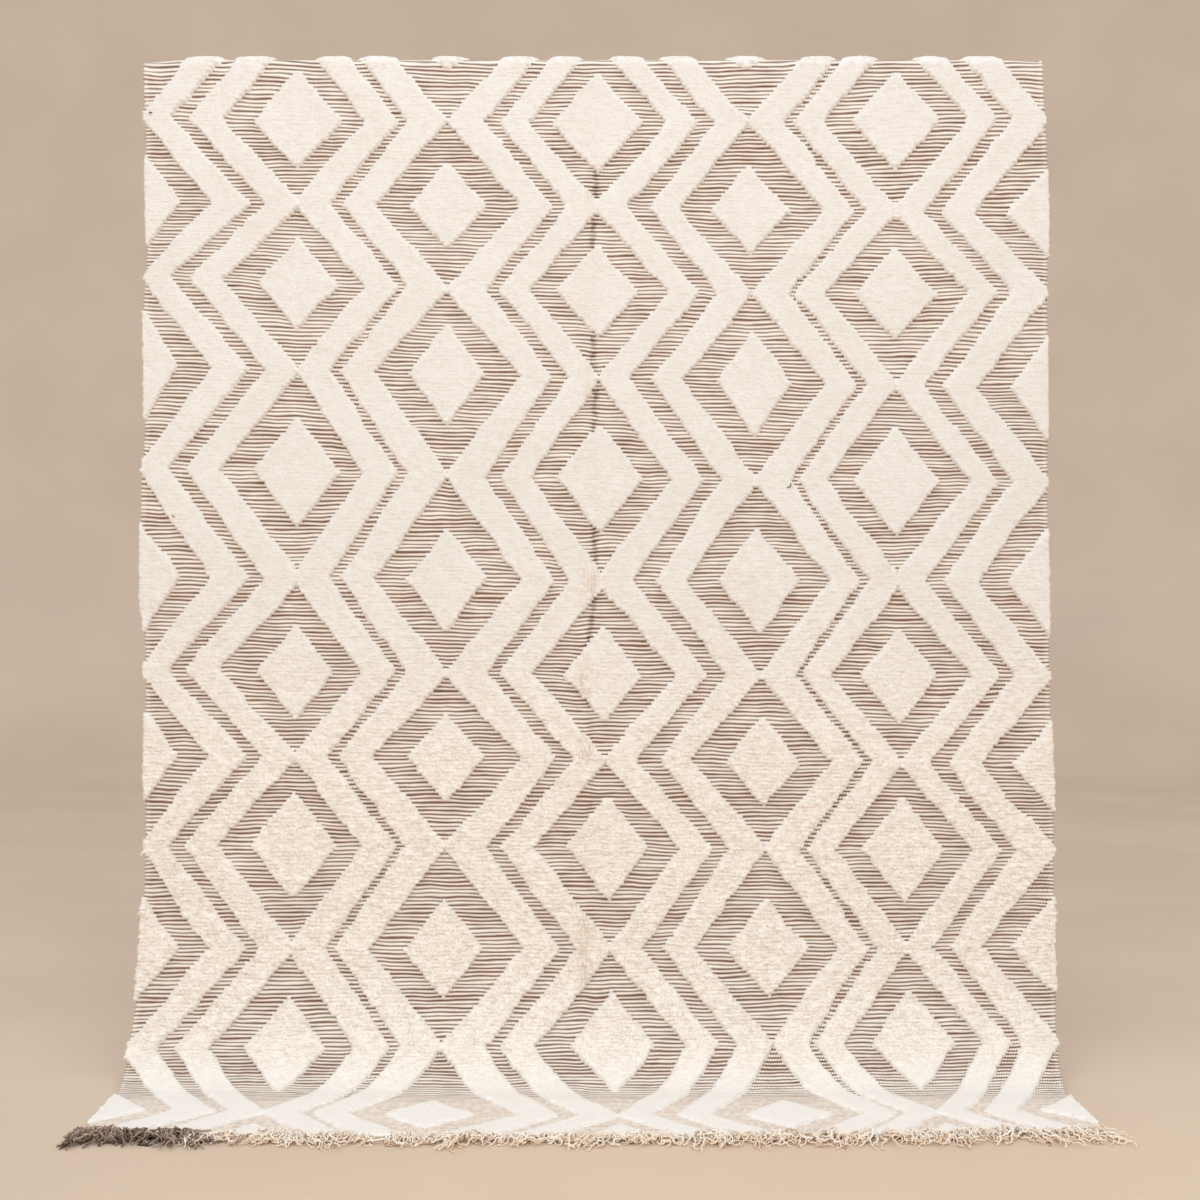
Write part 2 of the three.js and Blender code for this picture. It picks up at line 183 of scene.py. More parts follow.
def studio_floor():
    bend = np.linspace(0, pi / 2, FLOOR_RINGS - 1)
    radius = np.append(FLOOR_MIDDLE, FLOOR_RADIUS + BACKDROP_HEIGHT * np.sin(bend) * BACKDROP_OUT)
    height = np.append(0, BACKDROP_HEIGHT * (1 - np.cos(bend))) - FLOOR_BELOW
    angle = np.linspace(0, tau, FLOOR_TURNS + 1)
    points = [radius[:, None] * np.cos(angle), radius[:, None] * np.sin(angle)]
    points.append(np.repeat(height[:, None], FLOOR_TURNS + 1, 1))
    points = np.stack(points, -1).reshape(-1, 3)
    return mesh_object("floor", points, sheet_faces(FLOOR_RINGS, FLOOR_TURNS + 1), floor_finish())


def soft_light(name, place, target, size, power):
    light = bpy.data.lights.new(name, "AREA")
    light.shape = "RECTANGLE"
    light.size, light.size_y = size
    light.energy = power
    light.color = LIGHT_COLOUR
    lamp = bpy.data.objects.new(name, light)
    lamp.location = place
    towards = Vector(target) - lamp.location
    lamp.rotation_euler = towards.to_track_quat("-Z", "Y").to_euler()
    bpy.context.collection.objects.link(lamp)


studio_floor()
soft_light("overhead", place=(0.2, -2.4, 4.8), target=(0, -0.8, 0), size=(5.0, 3.5), power=70)
soft_light("front", place=(-0.7, -6.5, 1.2), target=(0, 0.2, 0.7), size=(7.0, 5.0), power=244)
world = bpy.data.worlds.new("world")
world.use_nodes = True
world.node_tree.nodes["Background"].inputs["Color"].default_value = ROOM_COLOUR
world.node_tree.nodes["Background"].inputs["Strength"].default_value = ROOM_LIGHT
bpy.context.scene.world = world
bpy.context.scene.view_settings.view_transform = "Standard"


# The ground is one length of weft-faced wool, brown and cream picks by turns, beaten down
# hard on the warp. It hangs over the bar, sweeps forward and lies on the floor.
WIDTH = 2.0
LENGTH = 3.0
GROUND = 0.005  # thickness
BAR_SPACE = 0.024  # between the front and the flap behind the bar
CREST = 2.243  # height of the underside over the bar
LEAN = (0.037, 0.420)  # the front hangs straight to here: forward of the fold, and height
SWEEP = [(0.045, 0.150), (0.110, 0.0)]  # handles of the curve from there down to the floor
TOUCHDOWN = 0.210  # how far forward the cloth meets the floor
REACH = 0.460  # how far forward it ends
FLAP_STEP = 0.002  # between the points of its path behind the bar
END_SHORT = (0.035, 0.051)  # how much sooner the cloth ends at its left and right corners
STRIPES = 352  # pairs of a brown and a cream stripe
WARP_PITCH = 0.0054  # from one warp to the next

# The ground's net: its lines down the cloth and across it
LINES_DOWN = 101
LINES_ACROSS = 289
FOLD_NET = (5, 21)  # it is finer over the fold: thicknesses of cloth both ways from the crest, lines
CREASE_NET = (-0.027, 0.015, 15)  # and by the crease: from, to, lines
SELVEDGE_NET = (0.006, 0.013)  # and has lines this far in from its selvedges
TOLD_APART = 5  # lines alike to this many decimals of a metre are one

ROWS = np.array([
    # Rows where the bands turn, down the cloth from the crest at the left, in the middle and at the
    # right, then half breadth and half height of the row's lozenges and half height of its crossings
    (-0.430, -0.430, -0.430, 0.088, 0.096, 0.008),
    (-0.240, -0.234, -0.238, 0.088, 0.098, 0.008),
    (-0.080, -0.038, -0.072, 0.098, 0.072, 0.004),
    (0.136, 0.148, 0.137, 0.097, 0.110, 0.003),
    (0.322, 0.338, 0.350, 0.086, 0.095, 0.010),
    (0.489, 0.525, 0.526, 0.089, 0.100, 0.003),
    (0.686, 0.716, 0.738, 0.080, 0.117, 0.007),
    (0.911, 0.937, 0.943, 0.093, 0.120, 0.005),
    (1.156, 1.162, 1.166, 0.088, 0.113, 0.018),
    (1.359, 1.369, 1.372, 0.082, 0.104, 0.005),
    (1.547, 1.555, 1.570, 0.082, 0.098, 0.005),
    (1.745, 1.748, 1.757, 0.089, 0.114, 0.004),
    (1.969, 1.970, 1.964, 0.086, 0.104, 0.010),
    (2.186, 2.178, 2.170, 0.088, 0.112, 0.005),
    (2.398, 2.441, 2.402, 0.088, 0.084, 0.008),
    (2.602, 2.604, 2.602, 0.092, 0.105, 0.010),
])
COLUMNS = np.array([
    # Columns of lozenges: across from the middle line at the top, halfway down and at the foot, then
    # how far the ground round a lozenge reaches left and right on the lozenge's own row, how broad
    # the band outside it is there, how far two bands reach both ways where they cross, how far the
    # cloth stands proud of a plane, and how much blunter the ground's points are
    (-1.000, -1.000, -1.000, 0.157, 0.157, 0.083, 0.059, 0.003, 0.012),
    (-0.658, -0.656, -0.670, 0.168, 0.148, 0.075, 0.071, 0.000, 0.000),
    (-0.326, -0.325, -0.333, 0.162, 0.166, 0.072, 0.087, 0.002, 0.000),
    (0.006, 0.018, 0.052, 0.156, 0.161, 0.069, 0.067, 0.009, 0.000),
    (0.338, 0.364, 0.394, 0.161, 0.155, 0.066, 0.076, 0.001, 0.000),
    (0.670, 0.669, 0.700, 0.151, 0.161, 0.063, 0.061, 0.004, 0.000),
    (1.000, 1.000, 1.000, 0.157, 0.157, 0.072, 0.076, 0.001, 0.005),
])
HALFWAY = 1.25  # how far down the cloth the columns' halfway places lie
LOZENGE_SPREAD = 0.002  # the lozenges' pile is the longest
SLANT = 0.75  # distance to a slanting edge over the distance straight across

SELVEDGES = np.array([
    # Down the cloth, and how far the left and the right selvedge wander to the right there
    (-0.20, 0.000, 0.000),
    (0.00, 0.000, -0.004),
    (0.25, 0.008, 0.005),
    (0.43, 0.012, 0.004),
    (0.55, 0.005, 0.002),
    (0.82, 0.009, 0.001),
    (0.98, 0.002, 0.000),
    (1.18, 0.003, 0.001),
    (1.32, 0.014, 0.002),
    (1.75, 0.016, 0.010),
    (2.05, 0.006, 0.006),
    (2.16, -0.001, 0.000),
    (2.28, -0.003, -0.005),
    (2.48, 0.000, 0.000),
])
STRAY_BREADTH = 0.1  # only this much of the cloth strays with its selvedge
DROOP = 0.005  # how far the two upper corners hang off the bar's ends
DROOP_LENGTH = 0.3  # of cloth on both sides of the crest

CREASE = np.array([
    # The old packing crease: down the cloth, and how far right of the middle line it lies there
    (-0.20, 0.002),
    (0.32, 0.004),
    (0.44, -0.004),
    (0.69, -0.002),
    (0.76, 0.004),
    (0.84, 0.000),
    (1.12, 0.002),
    (1.22, -0.002),
    (1.32, -0.015),
    (1.54, -0.006),
    (1.93, -0.010),
    (2.50, -0.014),
])
CREASE_BREADTH = 0.006
CREASE_DEPTH = 0.0016
CREASE_FROM = (0.06, 0.20)  # down the cloth, it deepens from here to there
CREASE_FADES = [(0.8, (1.34, 1.50)), (0.2, (1.95, 2.15))]  # this share of it ends here
RIDGE_FREE = [(0.15, 0.45), (1.85, 2.15)]  # the columns begin and cease to stand proud here
SWELL = 0.0015  # on average, the hanging cloth swells this much out of its plane
SWELL_FREE = [(0.05, 0.30), (1.9, 2.2)]  # the swell begins and ends here

WAVERS = [(0.0022, 2.5, 0.30, 5), (0.0010, 2, 0.07, 6)]  # picks waver by, squeezed, size, seed
JOG = 0.0025  # picks step up or down by about this at the crease
JOG_BREADTH = (0.010, 0.06)  # of the step itself, and of the stretch that it fades over
JOG_FROM = (0.1, 0.3)  # down the cloth, the steps grow from here to there
STEADY_ENDS = 0.06  # but they lie straight at the cloth's two ends
SELVEDGE_BREADTH = 0.020  # the warp shows between the picks this near the selvedges
PALE_FROM = (2.26, 2.38)  # painted light from above makes the stripes pale from here to the foot's end

BROWN_WOOL = ((0.050, 0.016, 0.006), (0.230, 0.112, 0.062))  # from its darkest to its lightest
CREAM_WOOL = ((0.90, 0.80, 0.70), (1.00, 0.95, 0.89))
RUBBED_AND_SHADED_CREAM = (0.36, 0.25, 0.18)  # cream stripes along the crease, rubbed and darkened by painted shade
LIT_FOOT_BROWN = (0.96, 0.82, 0.69)  # brown stripes on the floor, made pale by painted light from above
KNOT_BACKS = ((0.72, 0.61, 0.50), (0.88, 0.80, 0.70))
STRIPE_EDGE = 0.060  # half the soft edge of a stripe, as a share of a pair
UNEVEN_WAVES = 7  # every unevenness is a sum of so many waves


def smooth_step(value, low, high):
    share = np.clip((value - low) / (high - low), 0, 1)
    return share * share * (3 - 2 * share)


def within(value, rising, falling):
    """Rises smoothly from 0 to 1 over one stretch and falls back over another."""
    return smooth_step(value, *rising) * (1 - smooth_step(value, *falling))


def eased(value, places, amounts):
    """Goes smoothly from each amount of a table to the next."""
    step = np.clip(np.searchsorted(places, value) - 1, 0, len(places) - 2)
    share = smooth_step(value, places[step], places[step + 1])
    return amounts[step] + (amounts[step + 1] - amounts[step]) * share


def unevenness(across, down, size, seed):
    """Smooth random values, mostly between -1 and 1, in swells of about that size."""
    random = np.random.default_rng(seed)
    total = 0
    for _ in range(UNEVEN_WAVES):
        wave = tau / (size * random.uniform(0.7, 1.6))
        heading, phase = random.uniform(0, tau, 2)
        total = total + np.sin(wave * (across * np.cos(heading) + down * np.sin(heading)) + phase)
    return total / 3


def hanging_path():
    """The underside's path from the flap's end over the bar to the foot's end, the length along it
    from the crest to each of its points, and the flap's own length."""
    fold_points, lean_points, sweep_points, foot_points = 60, 900, 300, 100
    radius = BAR_SPACE / 2
    turn = np.linspace(pi, 0, fold_points)
    fold = np.stack([radius * np.cos(turn) - radius, radius * np.sin(turn) + CREST - radius], 1)
    start, first, last, end = np.array([LEAN, *SWEEP, (TOUCHDOWN, 0)])
    lean = fold[-1:] + (start - fold[-1]) * np.linspace(0, 1, lean_points)[1:, None]
    t = np.linspace(0, 1, sweep_points)[1:, None]
    sweep = start * (1 - t) ** 3 + 3 * first * t * (1 - t) ** 2
    sweep = sweep + 3 * last * t * t * (1 - t) + end * t**3
    foot = np.linspace(TOUCHDOWN, REACH, foot_points)[1:]
    points = np.concatenate([fold, lean, sweep, np.stack([foot, foot * 0], 1)])
    length = np.append(0, np.cumsum(np.hypot(*np.diff(points, axis=0).T)))
    length -= radius * pi / 2
    flap = LENGTH - length[-1]
    behind = np.arange(flap - radius * pi / 2, 0, -FLAP_STEP)
    back = np.stack([behind * 0 - BAR_SPACE, CREST - radius - behind], 1)
    length = np.concatenate([-behind - radius * pi / 2, length])
    return np.concatenate([back, points]), length, flap


PATH, PATH_LENGTH, FLAP = hanging_path()
FRONT = LENGTH - FLAP
PATH_TURN = np.gradient(PATH, PATH_LENGTH, axis=0)


def clear_of_ends(base, margin):
    """0 at the flap's and the foot's end, and 1 further in than a margin."""
    return within(base, (-FLAP, margin - FLAP), (FRONT - margin, FRONT))


def crease_at(down):
    """How far right of the middle line the old packing crease lies."""
    return eased(down, CREASE[:, 0], CREASE[:, 1])


def creased(across, down):
    """How sharply the cloth is creased at a place, from 0 to 1."""
    near = np.exp(-(((across - crease_at(down)) / CREASE_BREADTH) ** 2))
    fading = sum(share * smooth_step(down, *where) for share, where in CREASE_FADES)
    return near * smooth_step(down, *CREASE_FROM) * (1 - fading)


def proud(across, down):
    """How far the cloth stands out of its plane."""
    swell = SWELL * (1 + unevenness(across, down, size=0.45, seed=3)) * within(down, *SWELL_FREE)
    ridge = np.interp(across, COLUMNS[:, 1], COLUMNS[:, 7]) * within(down, *RIDGE_FREE)
    return ridge + swell - CREASE_DEPTH * creased(across, down)


def hung(across, down, raised):
    """Where a place on the cloth hangs, raised by so much above its underside."""
    forward, height = (np.interp(down, PATH_LENGTH, PATH[:, k]) for k in (0, 1))
    run, rise = (np.interp(down, PATH_LENGTH, PATH_TURN[:, k]) for k in (0, 1))
    lift = raised + proud(across, down)
    near_edge = smooth_step(np.abs(across), WIDTH / 2 - STRAY_BREADTH, WIDTH / 2)
    left, right = (eased(down, SELVEDGES[:, 0], SELVEDGES[:, k]) for k in (1, 2))
    across = across + near_edge * np.where(across < 0, left, right) + 0 * lift
    droop = DROOP * near_edge * (1 - smooth_step(np.abs(down), 0, DROOP_LENGTH))
    return np.stack([across, HANG_Y - forward + rise * lift, height + run * lift - droop], -1)


def weave(across, base):
    """How far down the cloth a pick lies. Picks tilt and bow with the pattern's rows."""
    rows = ROWS[ROWS[:, 1] < FRONT]
    left, middle, right = np.append(rows[:, :3].T, [[-END_SHORT[0]], [0], [-END_SHORT[1]]], 1)
    left[-1], middle[-1], right[-1] = left[-1] + FRONT, FRONT, right[-1] + FRONT
    side = across / (WIDTH / 2)
    tilt = np.interp(base, middle, (right - left) / 2)
    bow = np.interp(base, middle, (left + right) / 2 - middle)
    return base + tilt * side + bow * side * side


def wavered(across, down, base):
    """Picks waver a little, and step at the crease, but not at the cloth's two ends."""
    waver = sum(by * unevenness(across, down * squeezed, size, seed)
                for by, squeezed, size, seed in WAVERS)
    sharp, broad = JOG_BREADTH
    off = across - crease_at(down)
    jog = np.tanh(off / sharp) * smooth_step(down, *JOG_FROM) * np.exp(-((off / broad) ** 2))
    jog = JOG * jog * unevenness(0, down, size=0.2, seed=8)
    return down + (waver + jog) * clear_of_ends(base, STEADY_ENDS)


def column_at(column, down):
    """How far across a column of lozenges lies: a bent line through its three places."""
    top, halfway, foot = COLUMNS[column, :3]
    t = down / HALFWAY - 1
    return halfway + (foot - top) / 2 * t + ((top + foot) / 2 - halfway) * t * t


def pile_depth(across, down):
    """For each column, how far inside its pile a place is, and below zero on bare ground."""
    left, middle, right, half_width, half_height, crossing = ROWS.T
    side = (across / (WIDTH / 2))[..., None]
    at_rows = middle + (right - left) / 2 * side + ((left + right) / 2 - middle) * side * side
    row = np.clip((down[..., None] >= at_rows).sum(-1) - 1, 0, len(ROWS) - 2)
    start = np.take_along_axis(at_rows, row[..., None], -1)[..., 0]
    pitch = np.take_along_axis(at_rows, row[..., None] + 1, -1)[..., 0] - start
    depths = []
    for column, (_, halfway, _, to_left, to_right, banded, crossed, _, blunt) in enumerate(COLUMNS):
        # A place lies between a row that this column has a lozenge on and one where its bands cross
        first = (row + column) % 2 == 0
        away = np.where(first, down - start, pitch - down + start)
        own, other = np.where(first, row, row + 1), np.where(first, row + 1, row)
        line = column_at(column, down)
        on_right = across > line
        breadth = 1 + 0 * down
        for beside, here in ((column - 1, ~on_right), (column + 1, on_right)):
            if 0 <= beside < len(COLUMNS):
                gap = (column_at(beside, down) - line) / (COLUMNS[beside, 1] - halfway)
                breadth = np.where(here, gap, breadth)
        reach = np.where(on_right, to_right, to_left)
        lozenge = (half_width[own] + LOZENGE_SPREAD) * (1 - away / (half_height[own] + LOZENGE_SPREAD))
        ground = reach * (1 - away / (pitch - crossing[other] - blunt))
        band = reach + banded + (crossed - reach - banded) * away / pitch
        off = np.abs(across - line)
        in_band = np.minimum(off - ground * breadth, band * breadth - off)
        depths.append(np.maximum(lozenge - off, in_band) * SLANT)
    return np.stack(depths)


def set_values(made, **values):
    """Keeps a value, or a place of three, on each point of a mesh for its material to read."""
    for name, value in values.items():
        kind, key = ("FLOAT_VECTOR", "vector") if value.shape[-1:] == (3,) else ("FLOAT", "value")
        layer = made.data.attributes.new(name, kind, "POINT")
        layer.data.foreach_set(key, np.ascontiguousarray(value, np.float32).ravel())


def read(start, name, out=2):
    """A value kept on the mesh: out 2 is a number and out 1 a place."""
    return start.node("Attribute", {"attribute_name": name}, out=out)


def flecks(cloth, across, down, raised=1):
    """Noise with about so many flecks to a metre across the cloth, down it and up through it."""
    per_metre = {0: cloth, 1: (across, down, raised)}
    return noise(cloth.node("VectorMath", {"operation": "MULTIPLY"}, per_metre), 1.0)


def ground_finish():
    material, start = finish_of("striped_ground")
    cloth = read(start, "cloth", 1)
    weft = read(start, "weft")
    warp = read(start, "warp")
    pale = read(start, "pale")
    knotted = ramp(read(start, "depth"), -0.001, 0.001)

    # Each pair of stripes has a breadth, a bow and a shade of its own, scalloped between the warps
    pair = weft.math("FLOOR", weft)
    of_pair = pair.node("TexWhiteNoise", {"noise_dimensions": "1D"}, {"W": pair})
    bow = flecks(cloth, 13, 70) - 0.5
    waver = flecks(cloth, 150, 520)
    patch = flecks(cloth, 22, 75)
    beat = weft.math("COSINE", (warp + pair * 0.5 + (weft - pair) * 0.7) * tau)
    # Along the crease the stripes are rubbed and lie in painted shade: brown ones broader and darker,
    # cream ones darker
    worn = read(start, "worn") * ramp(flecks(cloth, 60, 70), 0.35, 0.6)
    off_middle = weft.math("ABSOLUTE", weft - pair - 0.5 - bow * 0.65)
    breadth = of_pair * 0.14 + waver * 0.20 + patch * 0.24 + beat * 0.15 * (1 - pale)
    breadth = breadth + worn * 0.10 - 0.070
    bare_warp = ramp(beat, 0.2, 0.9) * ramp(read(start, "selvedge"), 0.3, 0.7)
    brown = (1 - ramp(off_middle - breadth, -STRIPE_EDGE, STRIPE_EDGE)) * (1 - bare_warp * 0.45)
    shade = of_pair * 0.35 + flecks(cloth, 55, 330) * 0.8 + beat * 0.20
    # On the floor the stripes are made pale by painted light from above, in streaks
    shade = ramp(shade - worn * 0.6, 0.2, 0.95) * (1 - pale) + pale
    dyed = mixed(shade, *BROWN_WOOL)
    streak = ramp(flecks(cloth, 90, 45), 0.38, 0.62, 0.60, 1.0)
    dyed = mixed(pale * streak, dyed, LIT_FOOT_BROWN)
    undyed = mixed(flecks(cloth, 60, 500), *CREAM_WOOL)
    undyed = mixed(worn * 0.60, undyed, RUBBED_AND_SHADED_CREAM)
    striped = mixed(brown, undyed, dyed)

    # The back of the knots shows behind the pile, in cream rows
    backs = mixed(flecks(cloth, 150, 320), *KNOT_BACKS)
    colour = mixed(knotted, striped, backs)
    ribs = weft.math("COSINE", weft * (4 * tau)) * 0.35 + beat * 0.25 + waver * 0.8
    bumps = {"Height": ribs, "Distance": 0.0012, "Strength": 0.7}
    surface(start, colour, 0.95, start.node("Bump", {}, bumps), 0.15)
    return material


def closed_sheet_faces(rows, columns):
    """The faces of a net, of a second one behind it, and of narrow walls between their rims."""
    index = np.arange(rows * columns).reshape(rows, columns)
    rim = np.concatenate([index[0], index[1:, -1], index[-1, -2::-1], index[-2:0:-1, 0]])
    after = np.roll(rim, -1)
    behind = rows * columns
    walls = np.stack([rim, after, after + behind, rim + behind], 1)
    faces = sheet_faces(rows, columns)
    return np.concatenate([faces, faces[:, ::-1] + behind, walls])


def ground_lines():
    """The ground's net before it is woven: its places across the cloth, and down it."""
    by_crease = np.linspace(*CREASE_NET)
    by_selvedge = WIDTH / 2 - np.array(SELVEDGE_NET)
    across = np.linspace(-WIDTH / 2, WIDTH / 2, LINES_DOWN)
    across = np.concatenate([across, by_crease, by_selvedge, -by_selvedge])
    thicknesses, fold_lines = FOLD_NET
    by_fold = np.linspace(-GROUND, GROUND, fold_lines) * thicknesses
    base = np.append(np.linspace(-FLAP, FRONT, LINES_ACROSS), by_fold)
    return np.unique(across.round(TOLD_APART))[None, :], np.unique(base)[:, None]


def woven_ground():
    """A closed sheet: the pile side, the underside, and narrow walls between them."""
    across, base = ground_lines()
    down = weave(across, base)
    across, base = across + 0 * down, base + 0 * down
    deepest = pile_depth(across, down).max(0).ravel()
    down = wavered(across, down, base)
    sides = [hung(across, down, GROUND + 0 * down), hung(across, down, 0 * down)]
    points = np.concatenate([side.reshape(-1, 3) for side in sides])
    made = mesh_object("woven_ground", points, closed_sheet_faces(*down.shape), ground_finish())
    flat = np.stack([across, base, 0 * down], -1).reshape(-1, 3)
    # How much of the crease's wear and painted shade a place gets
    worn = creased(across, down).ravel()
    pale = smooth_step(down, *PALE_FROM).ravel()
    selvedge = smooth_step(np.abs(across), WIDTH / 2 - SELVEDGE_BREADTH, WIDTH / 2).ravel()

    # The crease's wear and painted shade, and the painted light on the foot, show on the pile side only,
    # and the backs of the knots on the underside only
    set_values(
        made,
        cloth=np.tile(flat, (2, 1)),
        weft=np.tile((base + FLAP).ravel() * STRIPES / LENGTH, 2),
        warp=np.tile(across.ravel() / WARP_PITCH, 2),
        depth=np.concatenate([deepest * 0 - 1, deepest]),
        worn=np.concatenate([worn, worn * 0]),
        pale=np.concatenate([pale, pale * 0]),
        selvedge=np.tile(selvedge, 2),
    )
    return made


ground = woven_ground()
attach(ground, "root")
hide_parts("rug")


# The pile is cut wool, knotted on the ground row by row: lozenges, and the zigzag bands that
# cross between them. Each column of lozenges is one piece with the bands on both its sides.
PILE = 0.012
PRESSED = 0.68  # the share of its height that the pile keeps near the bar
PRESSED_TO = (0.5, 1.8)  # down the cloth, it gets its full height back over this stretch
EDGE_ROUND = 0.0035  # the breadth over which the pile rises to its full height
KNOT_NET = 3  # points of the net for each knot, both ways
PILE_NET = 0.0042  # the net's pitch across, so that a knot is 12.6 mm broad
PILE_UNDER = 0.003  # beside the pile, the net dips up to this far into the ground
NAP = 0.16  # the pile leans down the cloth by this share of its height
SPREAD = 0.0034  # and leans out all round over its rim
SPREAD_FROM = 0.010  # within this much of it
RIM_LIGHT_BREADTH = 0.008  # and is painted paler within this much, as painted light on its rim
STRAY = 0.0004  # how far the net's points stray from their places, as a rule
CLOTH_END = 0.02  # near the flap's and the foot's end the pile stands straighter
CLOTH_SIDE = 0.01  # and near the selvedges

# The pile opens over the fold: there its height grows, and its edges are rounded over more breadth
CREST_DOME = 0.034  # how far that goes both ways from the crest
CREST_RISE = 0.06
CREST_ROUND = 0.014

# Further down the pile is curlier, and knots show apart. On the floor it is trodden smooth and flat.
CURLY_FROM = (0.9, 2.0)
CURLY_LEAST = 0.25  # how curly it is above that
TRODDEN_FROM = (2.12, 2.42)
TRODDEN_FLAT = 0.5
KNOT_UNEVEN = 0.060  # how much the height of whole knots varies
KNOT_ROUND = (0.065, 0.060)  # how much lower a knot's outer points are, down the cloth and across
TUFT_UNEVEN = (0.045, 0.035)  # how much the height of points varies: everywhere, and where curly

# The net's outer lines are repeated and lean out over the cloth's rims, each lower than the last and
# the middle one furthest out: how far out, and the share of the height that is left. At the
# selvedges their reach is shaggy, more so further down and on the left.
OVERHANG = [(0.0020, 0.90), (0.0030, 0.60), (0.0020, 0.25)]
SHAG_FROM = (0.8, 2.1)
SHAG_LEFT = (0.95, 0.8)  # how shaggy above that stretch, and how much more below it
SHAG_RIGHT = (0.55, 0.5)
SHAG_RANGE = (0.1, 3)  # the least and the most

TOUSLED = [
    # Stretches down the crease where the pile is combed into strands: start and end
    (0.24, 0.33),
    (0.37, 0.44),
    (0.72, 0.79),
    (1.11, 1.23),
    (1.34, 1.42),
    (1.47, 1.58),
    (1.86, 2.06),
]
TOUSLED_FADE = 0.03  # each stretch begins and ends over this length
TOUSLED_LEFT = 0.022  # breadth of the combed pile left and right of its middle
TOUSLED_RIGHT = 0.013
TOUSLED_ASIDE = 0.006  # which lies this far left of the crease

FRESH_PILE = ((0.800, 0.785, 0.764), (0.820, 0.810, 0.796))
CURLY_PILE = (0.945, 0.908, 0.855)
SHADED_HOLLOWS = (0.700, 0.615, 0.530)  # painted shade between fibres
SHADED_SEAMS = (0.68, 0.53, 0.40)  # painted shade between tufts
ROW_GAP_SHADE = (0.62, 0.47, 0.35)  # painted shade between rows of knots
# painted light on the pile's rims
PAINTED_RIM_LIGHT = (0.950, 0.925, 0.890)
# painted light on the pile that lies on the floor
LIT_FOOT_PILE = (0.985, 0.955, 0.915)
# painted shade between combed strands
COMBED_SHADE = (0.70, 0.54, 0.38)


def tousled(across, down):
    """How much the pile is combed into strands at a place, from 0 to 1."""
    off = across - crease_at(down) + TOUSLED_ASIDE
    beside = np.exp(-((off / np.where(off < 0, TOUSLED_LEFT, TOUSLED_RIGHT)) ** 2))
    stretches = sum(within(down, (start, start + TOUSLED_FADE), (end - TOUSLED_FADE, end))
                    for start, end in TOUSLED)
    return beside * (0.25 * smooth_step(down, 0.05, 0.2) * (down < 2.15) + 0.75 * stretches)


def pile_finish():
    material, start = finish_of("cream_pile")
    cloth = read(start, "cloth", 1)
    tone = read(start, "tone")
    combed = read(start, "combed")
    curly = read(start, "curly")
    weft = read(start, "weft")
    rim = read(start, "rim")
    trodden = read(start, "trodden")
    patch = noise(cloth, 5.0, 1.0)
    fibre = flecks(cloth, 330, 330, 200)
    wander = flecks(cloth, 60, 60) * 0.9
    # Painted shade in the gaps between rows of knots: wavering, broken up, and none on the floor
    between = ramp(weft.math("COSINE", (weft + wander) * tau), 0.35, 0.95)
    between = between * ramp(flecks(cloth, 48, 170, 30), 0.47, 0.62)
    between = between * (1 - trodden)
    grain = flecks(cloth, 170, 190, 100)
    seam_shade = flecks(cloth, 30, 430, 30)
    strand = flecks(cloth, 330, 50, 120)
    fresh = mixed(ramp(patch, 0.35, 0.65), *FRESH_PILE)
    fresh = mixed(ramp(curly, 0.2, 1.0), fresh, CURLY_PILE)
    # Painted shade in the hollows between fibres, more where the pile is curly
    hollow_shade = 1 - ramp(tone * 0.15 + fibre * 0.85, 0.34, 0.60)
    colour = mixed(hollow_shade * (0.25 + curly * 0.45), fresh, SHADED_HOLLOWS)
    # Painted shade in the seams between tufts, and in specks of the grain
    colour = mixed(ramp(seam_shade, 0.61, 0.72) * (0.50 - curly * 0.3), colour, SHADED_SEAMS)
    colour = mixed(ramp(grain, 0.54, 0.71) * (0.12 + curly * 0.55), colour, SHADED_SEAMS)
    colour = mixed(between * (0.18 + curly * 0.42), colour, ROW_GAP_SHADE)
    # Painted light makes the pile paler along its rims
    colour = mixed(rim * 0.45, colour, PAINTED_RIM_LIGHT)
    # Painted light from above makes the pile on the floor paler
    colour = mixed(trodden * 0.75, colour, LIT_FOOT_PILE)
    # Painted shade between the strands where the pile is combed
    colour = mixed(combed * ramp(strand, 0.45, 0.65) * 0.8, colour, COMBED_SHADE)
    height = fibre + grain * 0.5 + combed * strand
    bumps = {"Height": height, "Distance": 0.0020, "Strength": 0.7}
    surface(start, colour, 1.0, start.node("Bump", {}, bumps), 0.3)
    return material


def knots(random, rows, columns):
    """Each point's row of knots, its places in its knot, and three random values of that knot."""
    row = np.arange(rows)[:, None] // KNOT_NET
    shifted = np.arange(columns)[None, :] + row % 2  # every other row is moved along
    column = shifted // KNOT_NET
    places = np.abs(np.arange(rows)[:, None] % KNOT_NET - 1), np.abs(shifted % KNOT_NET - 1)
    shape = (row.max() + 1, column.max() + 1)
    longer = random.normal(0, 1, shape)[row, column]
    tone = random.uniform(0, 1, shape)[row, column]
    ragged = random.normal(0, 1, shape)[row, column]
    return row, places, longer, tone, ragged


def knotted_depth(across, down, base, row, ragged, trodden):
    """How far inside its pile a place is. The pattern steps from one row of knots to the next."""
    row_base = (row + 0.5) * LENGTH / STRIPES - FLAP
    row_base = row_base + (base - row_base) * smooth_step(trodden, 0.2, 0.6)
    step = 0.0013 * unevenness(across, row * 0.31, size=0.035, seed=23)
    sway = 0.0016 * unevenness(across, down, size=0.10, seed=24)
    return pile_depth(across, weave(across, row_base)) + 0.0007 * ragged + step + sway


